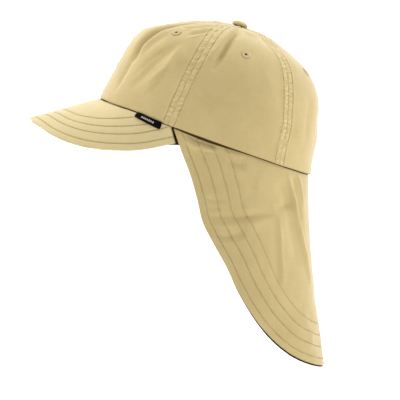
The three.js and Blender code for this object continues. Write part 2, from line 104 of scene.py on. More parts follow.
def read(rows, share):
    """A smooth curve through even rows, read at shares from 0 to 1."""
    rows = np.asarray(rows, float)
    last = len(rows) - 1
    padded = np.concatenate([[2 * rows[0] - rows[1]], rows, [2 * rows[-1] - rows[-2]]])
    place = np.clip(share, 0, 1) * last
    row = np.minimum(place.astype(int), last - 1)
    t = place - row
    a, b, c, d = (padded[row + k] for k in range(4))
    return 0.5 * (2 * b + (c - a) * t + (2 * a - 5 * b + 4 * c - d) * t**2 + (3 * b - a - 3 * c + d) * t**3)


def hump(distance, width):
    """1 at no distance, and nearly 0 at twice the width."""
    return np.exp(-((distance / width) ** 2))


def fade(distance, reach, softness):
    """1 within the reach and 0 past it, with a soft step between them."""
    return 1 / (1 + np.exp(np.minimum((distance - reach) / softness, 50)))


def crown_base(azimuth, up):
    """The crown's plain surface in the rim's frame, at a share of the way up from rim to button."""
    azimuth, up = np.broadcast_arrays(np.asarray(azimuth, float), np.asarray(up, float))
    profile = {name: read(rows, up) for name, rows in CROWN_PROFILES.items()}
    ahead = np.cos(np.radians(azimuth))
    reach = np.where(ahead > 0, FRONT_REACH * profile["front"], BACK_REACH * profile["back"])
    end_rise = np.where(ahead > 0, profile["front_rise"], profile["back_rise"])
    rise = profile["side_rise"] + (end_rise - profile["side_rise"]) * ahead**2
    sideways = HALF_WIDTH * profile["side"] * np.sin(np.radians(azimuth))
    arch = RIM_ARCH * hump(np.abs(azimuth) - 50, 13) * np.clip(1 - up / 0.3, 0, 1) ** 2
    return np.stack([sideways, -BUTTON_FORWARD - reach * ahead, CROWN_HEIGHT * rise + arch], -1)


def unit(vectors):
    return vectors / np.maximum(np.linalg.norm(vectors, axis=-1, keepdims=True), 1e-9)


def crown_run(azimuth, up):
    """The plain surface's outward normal, and its length per degree and per share of the way up."""
    azimuth, up = np.broadcast_arrays(np.asarray(azimuth, float), np.asarray(up, float))
    low = np.maximum(up - 0.01, 0)
    high = np.minimum(up + 0.01, 0.995)
    around = crown_base(azimuth + 0.5, up) - crown_base(azimuth - 0.5, up)
    upward = crown_base(azimuth, high) - crown_base(azimuth, low)
    per_share = np.linalg.norm(upward, axis=-1) / (high - low)
    return unit(np.cross(around, upward)), np.linalg.norm(around, axis=-1), per_share


def fold_height(folds, azimuth, share, per_degree, per_share):
    """Height of a list of folds, each fading towards its ends and with the distance from its line."""
    height = np.zeros(np.broadcast(azimuth, share).shape)
    for points, rise, width, far in folds:
        for side, strength in ((1, 1), (-1, far)):
            away = np.full(height.shape, 1e3)
            passed = np.zeros(height.shape)
            for k, ((start, low), (end, high)) in enumerate(zip(points, points[1:])):
                line = np.stack([(end - start) * per_degree, (high - low) * per_share], -1)
                point = np.stack([(side * azimuth - start) * per_degree, (share - low) * per_share], -1)
                along = np.clip((point * line).sum(-1) / (line**2).sum(-1), 0, 1)
                distance = np.linalg.norm(point - line * along[..., None], axis=-1)
                passed = np.where(distance < away, (k + along) / (len(points) - 1), passed)
                away = np.minimum(away, distance)
            ends = np.clip(np.minimum(passed, 1 - passed) * 4, 0, 1) ** 0.7
            height += strength * ends * rise * np.exp(-((away / width) ** 1.7))
    return height


def undulation(points, wavelength, seed):
    """Soft irregular waves of about this length in mm, mostly between -1 and 1."""
    rng = np.random.default_rng(seed)
    ways = unit(rng.normal(size=(16, 3))) * 2 * np.pi / (wavelength * rng.uniform(0.7, 1.5, (16, 1)))
    return np.sin(points @ ways.T + rng.uniform(0, 2 * np.pi, 16)).sum(-1) / 4


SEAM_ROW = 5.3  # from a seam to its stitches
SEAM_BAND = 7.0  # from a seam to the edge of the cloth pressed open under it
SEAM_BACK_RELIEF = 0.45  # of that cloth on the inside
PUCKER_STEP = 3.7
PUCKER_HEIGHT = 0.24
PUCKER_CRUMPLE = 0.2
GAP_SHADE_WEIGHT = 3.0  # weight of the painted shade that marks cloth in the depth of a gap between two pieces
BUTTON_SHADOW_REACH = 6.6  # the cloth within this of the button's axis is out of the light and takes painted shadow


def seam_height(distance, along, phase):
    """Beside a seam: the ditch, the doubled cloth, the groove under the stitches and the puckers."""
    doubled = 0.4 * fade(distance, SEAM_BAND, 0.3)
    ditch = 0.22 * hump(distance, 0.7)
    groove = 0.6 * hump(distance - SEAM_ROW, 0.55)
    slant = 0.5 * distance * np.sin(along / 13 + phase)
    gather = np.sin(2 * np.pi * along / PUCKER_STEP + 2.2 * np.sin(along / 9 + phase) + slant)
    gather *= 0.65 + 0.35 * np.sin(along / 5.3 + 2 * phase)
    gather += 0.6 * np.sin(2 * np.pi * along / 12.5 + 3 * phase + np.sin(along / 17))
    return doubled - ditch - groove + PUCKER_HEIGHT * gather * hump(distance - 3.2, 3.0)


def panel_cloth(side, seams, azimuth, up, inside=False):
    """A panel's face in the rim's frame, and its wear and painted shading: paler where raised, from wear
    and painted light, with painted shade in its grooves, along the rim, under the button and in the
    dent. side is 1 on the wearer's left, -1 on the right, and azimuth counts from the front on either
    side."""
    start, end = (read(SEAMS[seam], up) for seam in seams)
    normal, per_degree, per_share = crown_run(side * azimuth, up)
    across = np.clip((azimuth - start) / (end - start), 0, 1)
    swell = PANEL_PUFF * np.sin(np.pi * across) ** 0.7 * np.sin(np.pi * np.clip(up, 0, 1)) ** 0.6
    plain = crown_base(side * azimuth, up)
    waves = 0.28 * undulation(plain, 34, 3) + 0.07 * undulation(plain, 11, 4)
    run = (side * azimuth, up, per_degree, per_share)
    settled = np.minimum(up * CROWN_HEIGHT / RIM_HOLD, 1)
    folds = fold_height(CROWN_FOLDS, *run) + fold_height(CROWN_CREASES, *run)
    height = swell + settled * (folds + waves)
    fine = np.zeros(height.shape)
    for seam, line in zip(seams, (start, end)):
        distance = np.abs(azimuth - line) * crown_run(line, up)[1]
        if inside:
            fine -= SEAM_BACK_RELIEF * fade(distance, SEAM_BAND, 0.25)
        else:
            fine += seam_height(distance, up * PANEL_RUN, list(SEAMS).index(seam) * 1.7 + side)
            fine += PUCKER_CRUMPLE * undulation(plain, 3.4, 9) * fade(distance, 6.0, 0.4)
    rim = hump(up * PANEL_RUN, 0.7)
    fine += (0.45 if inside else -0.45) * rim
    from_axis = np.linalg.norm(plain[..., :2] + [0, BUTTON_FORWARD], axis=-1)
    # Painted shadow of the button on the cloth under it.
    button_shadow = np.clip(BUTTON_SHADOW_REACH - from_axis, 0, 1)
    dent_shade = np.clip(-2.6 - height, 0, 2)  # painted shade on the floor of the dent
    # Wear and painted light on raised cloth; painted shade in the grooves, in the gap along the rim, under
    # the button and on the dent's floor.
    wear_and_shading = 1.3 * fine - GAP_SHADE_WEIGHT * (0.6 * rim + button_shadow) - 0.75 * dent_shade
    return plain + normal * (height + fine - CROWN_WALL * inside)[..., None], wear_and_shading


def worn(points):
    """From the rim's frame to the worn cap's, which slopes down to the back."""
    x, y, z = np.moveaxis(points, -1, 0)
    cosine, sine = np.cos(WEAR_TILT), np.sin(WEAR_TILT)
    return np.stack([x, y * cosine + z * sine, z * cosine - y * sine], -1)


def placed(name, data):
    """A new object in the scene."""
    thing = bpy.data.objects.new(name, data)
    bpy.context.collection.objects.link(thing)
    return thing


def lay_weave(mesh, flat):
    """Keeps each vertex's place on the flat cloth, in mm, for the material's weave."""
    corners = np.empty(len(mesh.loops), int)
    mesh.loops.foreach_get("vertex_index", corners)
    mesh.uv_layers.new(name="weave").uv.foreach_set("vector", flat[corners].astype(np.float32).ravel())


def cloth_mesh(name, outer, inner, flat, wear_and_shading):
    """A closed piece of cloth. outer is a grid of points in mm, running to the right and up as seen
    from outside, and inner has every second one of its rows and columns. flat holds the weave's place
    of each outer point. The last argument is positive where the cloth is paler, from wear and painted
    light, and negative where it takes painted shade in its grooves and gaps."""
    columns, rows = outer.shape[0] - 1, outer.shape[1] - 1
    o = np.arange(outer[..., 0].size).reshape(columns + 1, rows + 1)
    n = o.size + np.arange(inner[..., 0].size).reshape(columns // 2 + 1, rows // 2 + 1)
    front = np.stack([o[:-1, :-1], o[1:, :-1], o[1:, 1:], o[:-1, 1:]], -1).reshape(-1, 4)
    back = np.stack([n[:-1, :-1], n[:-1, 1:], n[1:, 1:], n[1:, :-1]], -1).reshape(-1, 4)
    faces = front.tolist() + back.tolist()
    sides = [(o[:, 0], n[:, 0]), (o[-1], n[-1]), (o[::-1, -1], n[::-1, -1]), (o[0, ::-1], n[0, ::-1])]
    for edge, far in sides:
        for k in range(len(far) - 1):
            a, b, c = (int(x) for x in edge[2 * k : 2 * k + 3])
            d, e = int(far[k]), int(far[k + 1])
            faces += [(b, a, d), (b, d, e), (c, b, e)]
    points = np.concatenate([outer.reshape(-1, 3), inner.reshape(-1, 3)]) * 0.001
    mesh = bpy.data.meshes.new(name)
    mesh.from_pydata(points.tolist(), [], faces)
    lay_weave(mesh, np.concatenate([flat.reshape(-1, 2), flat[::2, ::2].reshape(-1, 2)]))
    wear_and_shading_level = mesh.attributes.new("wear_and_shading", "FLOAT", "POINT")
    shares = np.concatenate([wear_and_shading.ravel(), np.zeros(inner[..., 0].size)])
    wear_and_shading_level.data.foreach_set("value", shares.astype(np.float32))
    mesh.shade_smooth()
    return placed(name, mesh)


# Fine steps in mm beside a seam, so that a column of points lies under each row of stitches.
SEAM_STEPS = np.array(
    [0.05, 0.4, 0.8, 1.3, 1.9, 2.5, 3.2, 3.9, 4.45, 4.9, SEAM_ROW, 5.7, 6.15, 6.7, 7.2, 7.9, 9.0]
)
PANEL_MIDDLE = 64
PANEL_ROWS = 176
shares_near_top = np.linspace(0.9, 1, 1001)
reach_near_top = HALF_WIDTH * read(CROWN_PROFILES["side"], shares_near_top)
PANEL_TOP = float(np.interp(CROWN_TOP_REACH, reach_near_top[::-1], shares_near_top[::-1]))


def panel_grid(seams):
    """Azimuth and share of the way up of each point of a panel."""
    up = np.linspace(0, PANEL_TOP, PANEL_ROWS + 1)
    start, end = (read(SEAMS[seam], up) for seam in seams)
    near, far = (crown_run(line, up)[1] for line in (start, end))
    squeeze = np.minimum(1, (end - start) * (near + far) / 4 / (SEAM_STEPS[-1] + 0.6))
    left = start + SEAM_STEPS[:, None] * squeeze / near
    right = end - SEAM_STEPS[::-1, None] * squeeze / far
    middle = left[-1] + np.linspace(0, 1, PANEL_MIDDLE + 1)[1:-1, None] * (right[0] - left[-1])
    azimuth = np.concatenate([left, middle, right])
    return azimuth, np.broadcast_to(up, azimuth.shape)


def linear(hex_colour):
    """An sRGB hex colour as Blender's linear one."""
    parts = [int(hex_colour[k : k + 2], 16) / 255 for k in (1, 3, 5)]
    return (*(c / 12.92 if c <= 0.04045 else ((c + 0.055) / 1.055) ** 2.4 for c in parts), 1.0)


def add_node(tree, kind, settings=(), links=()):
    """Adds a node, with pairs of a setting or an input and its value, and of an input and its source.
    A source is an output, or a node, which stands for its first output."""
    node = tree.nodes.new(kind)
    for name, value in settings:
        if isinstance(name, str) and hasattr(node, name):
            setattr(node, name, value)
        else:
            node.inputs[name].default_value = value
    for name, source in links:
        output = source.outputs[0] if isinstance(source, bpy.types.Node) else source
        tree.links.new(output, node.inputs[name])
    return node


def bare_material(name):
    """A new material and its empty node tree."""
    material = bpy.data.materials.new(name)
    material.use_nodes = True
    material.node_tree.nodes.clear()
    return material, material.node_tree


GAP_SHADE = "#3B2912"  # painted shade: the near-black of cloth in the depth of a gap between two pieces


def poplin(name, cloth, shade, wear_and_shading, thread_width, roughness, sheen=0.42):
    """Plain-woven cloth. The weave is a little coarser than the real one, so that it shows: threads of
    thread_width mm pass over and under each other, and a few are thicker. The cloth is paler where it
    is raised, from wear and painted light. Its grooves are darker as painted shade, and the depth of a
    gap is painted nearly black, without sheen, as painted shade."""
    material, tree = bare_material(name)
    place = add_node(tree, "ShaderNodeUVMap", [("uv_map", "weave")]).outputs["UV"]
    turn = np.pi / thread_width
    waves = place
    for step in ([("operation", "MULTIPLY"), (1, (turn, turn, 0))], [("operation", "SINE")]):
        waves = add_node(tree, "ShaderNodeVectorMath", step, [(0, waves)])
    threads = add_node(tree, "ShaderNodeSeparateXYZ", [], [(0, waves)])
    crossed = [(0, threads.outputs[0]), (1, threads.outputs[1])]
    weave = add_node(tree, "ShaderNodeMath", [("operation", "MULTIPLY")], crossed)
    slubs = []
    for stretch in ((1.1, 0.07, 1), (0.07, 1.1, 1)):
        stretched = [("operation", "MULTIPLY"), (1, stretch)]
        scaled = [("Vector", add_node(tree, "ShaderNodeVectorMath", stretched, [(0, place)]))]
        slubs.append(add_node(tree, "ShaderNodeTexNoise", [("Scale", 1.0), ("Detail", 2.0)], scaled))
    both_ways = [(0, slubs[0]), (1, slubs[1])]
    yarns = add_node(tree, "ShaderNodeMath", [("operation", "ADD")], both_ways)
    blotches = add_node(tree, "ShaderNodeTexNoise", [("Scale", 0.045), ("Detail", 3.0)], [("Vector", place)])
    tone = add_node(tree, "ShaderNodeMath", [("operation", "MULTIPLY"), (1, 0.06)], [(0, weave)])
    for source, share in ((yarns, 0.22), (blotches, 0.3)):
        added = [(0, source), (2, tone)]
        tone = add_node(tree, "ShaderNodeMath", [("operation", "MULTIPLY_ADD"), (1, share)], added)
    limits = [("From Min", 0.05), ("From Max", 0.65)]
    amount = add_node(tree, "ShaderNodeMapRange", limits, [("Value", tone)])
    tints = [("data_type", "RGBA"), (6, linear(shade)), (7, linear(cloth))]
    colour = add_node(tree, "ShaderNodeMix", tints, [(0, amount)])
    wear_and_shading_level = add_node(tree, "ShaderNodeAttribute", [("attribute_name", "wear_and_shading")]).outputs["Fac"]
    # Painted shade in grooves, paler ridges from wear and painted light, and painted shade in gaps:
    # where each begins, where it is full, and how far it takes which colour.
    for start, full, share, tint in (
        (0.0, -0.7, 0.55, shade),
        (0.35, 1.0, 0.5, wear_and_shading),
        (-1.0, -2.0, 1.0, GAP_SHADE),
    ):
        limits = [("From Min", start), ("From Max", full), ("To Max", share)]
        amount = add_node(tree, "ShaderNodeMapRange", limits, [("Value", wear_and_shading_level)])
        layers = [(0, amount), (6, colour.outputs[2])]
        colour = add_node(tree, "ShaderNodeMix", [("data_type", "RGBA"), (7, linear(tint))], layers)
    # The sheen fades out where the painted shade of a gap is full.
    limits = [("From Min", -0.8), ("From Max", -1.6), ("To Min", sheen), ("To Max", 0.0)]
    gleam = add_node(tree, "ShaderNodeMapRange", limits, [("Value", wear_and_shading_level)])
    raised = [(0, yarns), (2, weave)]
    relief = add_node(tree, "ShaderNodeMath", [("operation", "MULTIPLY_ADD"), (1, 0.8)], raised)
    depth = [("Strength", 0.3), ("Distance", 0.00012)]
    bump = add_node(tree, "ShaderNodeBump", depth, [("Height", relief)])
    limits = [("From Min", -1.0), ("To Min", roughness - 0.06), ("To Max", roughness + 0.06)]
    gloss = add_node(tree, "ShaderNodeMapRange", limits, [("Value", weave)])
    shader = add_node(
        tree,
        "ShaderNodeBsdfPrincipled",
        [("Sheen Roughness", 0.4), ("Specular IOR Level", sheen * 0.5)],
        [
            ("Base Color", colour.outputs[2]),
            ("Normal", bump),
            ("Roughness", gloss),
            ("Sheen Weight", gleam),
        ],
    )
    add_node(tree, "ShaderNodeOutputMaterial", [], [("Surface", shader)])
    return material


# Matt cotton and nylon poplin in pale tan: the eye gets an even, dry surface with faint yarn streaks.
tan_poplin = poplin("tan_poplin", "#CCB987", "#B19B65", "#DBCB9D", 0.8, 0.82)

PANELS = {
    "front_panel": {"seams": ("front", "side"), "eyelet": (46.0, 0.555)},
    "side_panel": {"seams": ("side", "rear"), "eyelet": (99.2, 0.575)},
    "rear_panel": {"seams": ("rear", "back"), "eyelet": (160.0, 0.625)},
}
SIDES = {"left": 1, "right": -1}
EYELET_HOLE = 1.9  # radius of the hole that is punched before the embroidery
seam_stitches = []
seam_back_stitches = []
eyelet_places = {}


def grid_normals(grid):
    """Unit normals of a grid of points that runs to the right and up, seen from outside."""
    return unit(np.cross(np.gradient(grid, axis=0), np.gradient(grid, axis=1)))


def facing(place, normal):
    """Puts a form made about +Z at a place in metres, with its axis along the normal."""
    return Matrix.Translation(place) @ Vector(normal).to_track_quat("Z", "Y").to_matrix().to_4x4()


def punch(piece, place, normal, radius):
    """Cuts a round hole through a piece, along the normal at a place in metres."""
    bpy.ops.mesh.primitive_cylinder_add(vertices=24, radius=radius * 0.001, depth=0.012)
    drill = bpy.context.object
    drill.matrix_world = facing(place, normal)
    hole = piece.modifiers.new("hole", "BOOLEAN")
    hole.operation = "DIFFERENCE"
    hole.object = drill
    cut = bpy.data.meshes.new_from_object(piece.evaluated_get(bpy.context.evaluated_depsgraph_get()))
    piece.modifiers.clear()
    piece.data = cut
    bpy.data.objects.remove(drill)


for panel, facts in PANELS.items():
    azimuth, up = panel_grid(facts["seams"])
    for word, side in SIDES.items():
        # The second value is the panel's wear and painted shade, for the material.
        outer, fine = panel_cloth(side, facts["seams"], azimuth, up)
        inner, _ = panel_cloth(side, facts["seams"], azimuth[::2, ::2], up[::2, ::2], inside=True)
        outer, inner = worn(outer), worn(inner)
        middle = sum(read(SEAMS[seam], up) for seam in facts["seams"]) / 2
        flat = np.stack([(azimuth - middle) * crown_run(azimuth, up)[1], up * PANEL_RUN], -1)
        if side < 0:
            outer, inner, fine, flat = outer[::-1], inner[::-1], fine[::-1], flat[::-1]
        piece = cloth_mesh(f"{panel}_{word}_cloth", outer, inner, flat, fine)
        piece.data.materials.append(tan_poplin)
        place = np.array(facts["eyelet"])
        seat, _ = panel_cloth(side, facts["seams"], place[:1], place[1:])
        normal = worn(crown_run(side * place[:1], place[1:])[0])[0]
        eyelet_places[f"{panel}_{word}_eyelet"] = (worn(seat)[0] * 0.001, normal)
        bpy.context.view_layer.update()
        punch(piece, *eyelet_places[f"{panel}_{word}_eyelet"], EYELET_HOLE)
        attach(piece, "root")
        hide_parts(f"{panel}_{word}")
        # The stitches follow the grid's own columns, from just above the rim to where the panel has
        # become too narrow for them.
        widths = np.linalg.norm(np.diff(outer, axis=0), axis=-1).sum(0)
        tall = widths > 2 * SEAM_ROW + 2.5
        tall[:3] = False
        column = int(np.argmin(np.abs(SEAM_STEPS - SEAM_ROW)))
        normals = grid_normals(outer)
        for k in (column, len(outer) - 1 - column):
            seam_stitches.append((outer[k][tall], normals[k][tall]))
        backs = grid_normals(inner)
        for k in (column // 2, len(inner) - 1 - column // 2):
            seam_back_stitches.append((inner[k][tall[::2]], -backs[k][tall[::2]]))


# Thread. Spun polyester of the cloth's tan, coloured browner and darker as painted shade along the
# rows, in lockstitches 2.4 mm long that start every 3 mm. Each stitch is a short round strand whose
# ends dive into the cloth.
STITCH_STEP = 3.0
STITCH_LENGTH = 2.4
THREAD_WIDTH = 0.36
STITCH_LIFT = 0.1  # of a strand's axis over the cloth
STRAND_SIDES = 5


def spun_thread(name, cloth, shade):
    """Matt twisted thread: fine slanting plies catch the light along each strand, and painted shade between
    them darkens it.
    """
    material, tree = bare_material(name)
    place = add_node(tree, "ShaderNodeTexCoord").outputs["Object"]
    slant = [("bands_direction", "DIAGONAL"), ("Scale", 700.0), ("Distortion", 3.0), ("Detail", 2.0)]
    plies = add_node(tree, "ShaderNodeTexWave", slant, [("Vector", place)]).outputs["Fac"]
    tints = [("data_type", "RGBA"), (6, linear(shade)), (7, linear(cloth))]
    colour = add_node(tree, "ShaderNodeMix", tints, [(0, plies)])
    depth = [("Strength", 0.4), ("Distance", 0.00008)]
    bump = add_node(tree, "ShaderNodeBump", depth, [("Height", plies)])
    shader = add_node(
        tree,
        "ShaderNodeBsdfPrincipled",
        [("Roughness", 0.62), ("Specular IOR Level", 0.4), ("Sheen Weight", 0.1)],
        [("Base Color", colour.outputs[2]), ("Normal", bump)],
    )
    add_node(tree, "ShaderNodeOutputMaterial", [], [("Surface", shader)])
    return material


tan_thread = spun_thread("tan_polyester_thread", "#A08958", "#7C6839")


def interpolated(values, lengths, at):
    """Rows of values, given at these lengths along a line, read at others."""
    return np.stack([np.interp(at, lengths, values[:, k]) for k in range(3)], -1)


def stitches(name, lines, material):
    """Sews a row along each line, which is a pair of points and outward normals in mm."""
    around = np.linspace(0, 2 * np.pi, STRAND_SIDES, endpoint=False)
    ring = np.stack([np.zeros(STRAND_SIDES), np.cos(around), np.sin(around)], -1) * THREAD_WIDTH / 2
    strand = [np.array([[-0.5, 0, -0.28]])]
    for share, dive, girth in ((-0.4, -0.06, 0.85), (0, 0, 1), (0.4, -0.06, 0.85)):
        strand.append(ring * girth + [share, 0, dive])
    strand.append(np.array([[0.5, 0, -0.28]]))
    strand = np.concatenate(strand) * [STITCH_LENGTH, 1, 1]
    first, middle, last = (1 + row * STRAND_SIDES + np.arange(STRAND_SIDES) for row in range(3))
    faces = [(0, b, a) for a, b in zip(first, np.roll(first, -1))]
    for low, high in ((first, middle), (middle, last)):
        faces += list(zip(low, np.roll(low, -1), np.roll(high, -1), high))
    faces += [(len(strand) - 1, a, b) for a, b in zip(last, np.roll(last, -1))]
    vertices = []
    for points, normals in lines:
        lengths = np.concatenate([[0], np.cumsum(np.linalg.norm(np.diff(points, axis=0), axis=1))])
        if lengths[-1] < STITCH_STEP:
            continue
        centres = np.arange(STITCH_STEP / 2, lengths[-1] - STITCH_STEP / 2, STITCH_STEP)
        middle = interpolated(points, lengths, centres)
        along = unit(interpolated(points, lengths, centres + 1) - interpolated(points, lengths, centres - 1))
        out = interpolated(normals, lengths, centres)
        out = unit(out - along * (out * along).sum(-1, keepdims=True))
        beside = np.cross(out, along)
        axes = np.stack([along, beside, out], 1)
        vertices.append((middle + out * STITCH_LIFT)[:, None] + np.einsum("vk,nkx->nvx", strand, axes))
    vertices = np.concatenate(vertices)
    offsets = np.arange(len(vertices)) * len(strand)
    every_face = [tuple(int(v) + int(offset) for v in face) for offset in offsets for face in faces]
    mesh = bpy.data.meshes.new(name)
    mesh.from_pydata((vertices.reshape(-1, 3) * 0.001).tolist(), [], every_face)
    mesh.shade_smooth()
    mesh.materials.append(material)
    piece = placed(name, mesh)
    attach(piece, "root")
    return piece


stitches("crown_seam_stitches", seam_stitches, tan_thread)
stitches("crown_seam_back_stitches", seam_back_stitches, tan_thread)


# Eyelets. Each air hole is bound with close satin stitches that run outwards from the hole over a
# padded ring, so it stands proud of the cloth as a small ribbed doughnut.
EYELET_STRANDS = 36
STRAND_STEPS = 5
EYELET_RING = [  # reach from the hole's axis and height over the cloth
    (1.15, -1.6), (1.05, -0.6), (1.15, 0.25), (1.5, 0.6), (2.1, 0.75),
    (2.9, 0.75), (3.6, 0.62), (4.1, 0.4), (4.45, 0.08), (4.6, -0.3),
]
EYELET_BACK = [(4.3, -0.5), (1.75, -0.5), (1.75, -1.6)]


def turned(name, profile, around, fluting, place, normal):
    """A closed form turned about an axis, whose outline is fluted by fluting(angle, row) in mm."""
    angles = np.linspace(0, 2 * np.pi, around, endpoint=False)
    points = []
    for row, (reach, rise) in enumerate(profile):
        swell = fluting(angles, row)
        out = reach + swell * 0.3
        points.append(np.stack([out * np.cos(angles), out * np.sin(angles), rise + swell], -1))
    grid = np.stack(points)
    count = len(profile)
    index = np.arange(count * around).reshape(count, around)
    faces = []
    for row in range(count):
        low, high = index[row], index[(row + 1) % count]
        faces += np.stack([low, high, np.roll(high, -1), np.roll(low, -1)], -1).tolist()
    mesh = bpy.data.meshes.new(name)
    mesh.from_pydata((grid.reshape(-1, 3) * 0.001).tolist(), [], faces)
    mesh.transform(facing(place, normal))
    mesh.shade_smooth()
    return placed(name, mesh)


def satin(angles, row):
    """The ribs of the satin stitches, deepest over the ring's crest."""
    if row >= len(EYELET_RING):
        return np.zeros(len(angles))
    depth = 0.16 * np.sin(np.pi * (row / (len(EYELET_RING) - 1))) ** 0.5
    return depth * (np.abs(np.cos(angles * EYELET_STRANDS / 2)) - 0.6)


# Embroidery thread that matches the cloth, so the eye finds the ring by its ribs alone.
eyelet_thread = spun_thread("eyelet_polyester_thread", "#CDB98A", "#B7A274")
# The same thread, coloured near black as painted shade in the hole and in the needle holes round
# the ring, where hardly any light comes.
shaded_thread = spun_thread("shaded_polyester_thread", "#2A2016", "#120D08")
around = EYELET_STRANDS * STRAND_STEPS
for node, (place, normal) in eyelet_places.items():
    piece = turned(f"{node}_thread", EYELET_RING + EYELET_BACK, around, satin, place, normal)
    piece.data.materials.append(eyelet_thread)
    piece.data.materials.append(shaded_thread)
    for face in piece.data.polygons:
        row, turn = divmod(face.index, around)
        # Faces in the hole and at the needle holes take the thread that is painted as shade.
        in_hole = row < 2 or row >= len(EYELET_RING) + 2
        needle_hole = row in (7, 8) and turn % STRAND_STEPS < 2
        if in_hole or needle_hole:
            face.material_index = 1
    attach(piece, "root")
    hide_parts(node)

# Button. A flat metal button is covered with the crown's own poplin, which is gathered under its
# rim, and its shank goes through the crown where the six panels meet.
BUTTON_LIFT = 0.8
BUTTON_LEAN = np.radians(4)
BUTTON_PROFILE = [  # reach from the axis and height, from the crown of the button to its shank
    (0.02, 4.4), (1.2, 4.38), (2.4, 4.28), (3.6, 4.1), (4.7, 3.82), (5.6, 3.4),
    (6.4, 2.8), (6.95, 2.15), (7.25, 1.55), (7.35, 1.0), (7.15, 0.45), (6.6, 0.1),
    (5.2, -0.05), (3.4, 0.0), (2.2, -0.1), (2.2, -4.0), (0.02, -4.0),
]
lean = np.array([0.0, -np.sin(BUTTON_LEAN), np.cos(BUTTON_LEAN)])
button_seat = worn(crown_base(0.0, 1.0) + lean * BUTTON_LIFT) * 0.001


def gathers(angles, row):
    """Small pleats that deepen towards the button's rim, with the rows counted from its shank."""
    from_top = len(BUTTON_PROFILE) - 1 - row
    depth = 0.16 * np.clip((from_top - 5) / 5, 0, 1) * (from_top < 13)
    return depth * (np.sin(angles * 14 + np.sin(angles * 3)) + 0.4 * np.sin(angles * 23 + 1))


button = turned("button_cover", BUTTON_PROFILE[::-1], 96, gathers, button_seat, worn(lean))
# The weave lies flat over the button, as seen from above.
points = np.empty(len(button.data.vertices) * 3)
button.data.vertices.foreach_get("co", points)
lay_weave(button.data, points.reshape(-1, 3)[:, :2] * 1000)
button.data.materials.append(tan_poplin)
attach(button, "root")
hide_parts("button")

# Peak. A curved board is wrapped in the same poplin and sewn through with four rows of stitches that
# follow its edge. The cloth sinks at each row and swells between them, and it rolls over the edge.
PEAK_END = 73.0  # azimuth of its ends on the rim
PEAK_AHEAD = 55.0
PEAK_DROP = 38.0
PEAK_SEAT = 0.3  # below the crown's rim
PEAK_DEPTH = 62.0  # about, from the rim to the edge
PEAK_THICKNESS = 2.3
PEAK_ROLL = 1.1  # the radius of its rolled edge
PEAK_COLUMNS, PEAK_LEVELS = 300, 130
PEAK_INSIDE = 3.4  # the sewn edge that reaches under the crown's wall
PEAK_ROWS = [6.3, 15.3, 22.8, 31.2]  # of stitches, from the edge
PEAK_EDGE = {
    "out": [0.0, 0.2, 0.385, 0.56, 0.7, 0.81, 0.89, 0.945, 0.965],
    "forward": [1.0, 0.98, 0.925, 0.84, 0.73, 0.605, 0.465, 0.3, 0.125],
    "drop": [1.02, 1.025, 1.065, 1.14, 1.165, 1.12, 0.99, 0.745, 0.33],
}


def peak_base(across, way):
    """The peak's plain top in the rim's frame. across runs from -1 at the wearer's right end to 1 at
    the left, and way from 0 at the rim to 1 at the edge."""
    rim = crown_base(across * PEAK_END, 0.0) - [0, 0, PEAK_SEAT]
    share = np.abs(across)
    out = np.sign(across) * HALF_WIDTH * read(PEAK_EDGE["out"], share)
    forward = -BUTTON_FORWARD - (FRONT_REACH + PEAK_AHEAD) * read(PEAK_EDGE["forward"], share)
    edge = np.stack([out, forward, -PEAK_DROP * read(PEAK_EDGE["drop"], share)], -1)
    return rim + (edge - rim) * way[..., None]


def distance_to(line, grid):
    """Distance in mm from each point of a grid to a line of points."""
    parts = np.array_split(grid.reshape(-1, 3), 64)
    nearest = [np.linalg.norm(part[:, None] - line[None], axis=-1).min(1) for part in parts]
    return np.concatenate(nearest).reshape(grid.shape[:-1])


def row_height(distance, rows, rim_distance):
    """Relief of sewn rows: a narrow groove in a wide, shallow one under each, and none at the rim."""
    height = np.zeros(distance.shape)
    for row in rows:
        height -= 0.42 * hump(distance - row, 0.6) + 0.1 * hump(distance - row, 1.8)
    return height * np.clip(rim_distance / 1.5, 0, 1)


def row_lines(grid, distance, rows, clear):
    """Points and normals along each row, where the distance crosses it between two rows of the grid
    and the grid is clear of the seam."""
    normals = grid_normals(grid)
    lines = []
    for row in rows:
        points, outward = [], []
        for column in range(len(grid)):
            away = distance[column]
            k = int(np.argmax(away > row))
            if k == 0 or not clear[column, k]:
                continue
            share = (row - distance[column, k - 1]) / (distance[column, k] - distance[column, k - 1])
            points.append(grid[column, k - 1] * (1 - share) + grid[column, k] * share)
            outward.append(normals[column, k - 1] * (1 - share) + normals[column, k] * share)
        if len(points) > 3:
            lines.append((np.array(points), unit(np.array(outward))))
    return lines


def edge_roll(distance, radius):
    """How far a rolled edge falls below the surface at this distance from it."""
    inside = np.clip(1 - distance / radius, 0, 1)
    return radius * (1 - np.sqrt(1 - inside**2))


peak_edge = peak_base(np.linspace(-1, 1, 1201), np.ones(1201))
across = np.linspace(-1, 1, PEAK_COLUMNS + 1)
way = np.linspace(1, 0, PEAK_LEVELS + 1)
peak_plain = peak_base(*np.meshgrid(across, way, indexing="ij"))
peak_away = distance_to(peak_edge, peak_plain)
peak_rim = np.linalg.norm(peak_plain - peak_plain[:, -1:], axis=-1)
peak_normals = grid_normals(peak_plain)
peak_quilting = row_height(peak_away, PEAK_ROWS, peak_rim)
peak_fine = peak_quilting + 0.1 * undulation(peak_plain, 30, 5) + 0.05 * undulation(peak_plain, 7, 6)
peak_fine -= 0.5 * hump(peak_rim, 0.9)
rolled = edge_roll(peak_away, PEAK_ROLL)
peak_top = worn(peak_plain + peak_normals * (peak_fine - rolled)[..., None])
peak_under = worn(peak_plain - peak_normals * (PEAK_THICKNESS - rolled)[..., None])[::2, ::2]
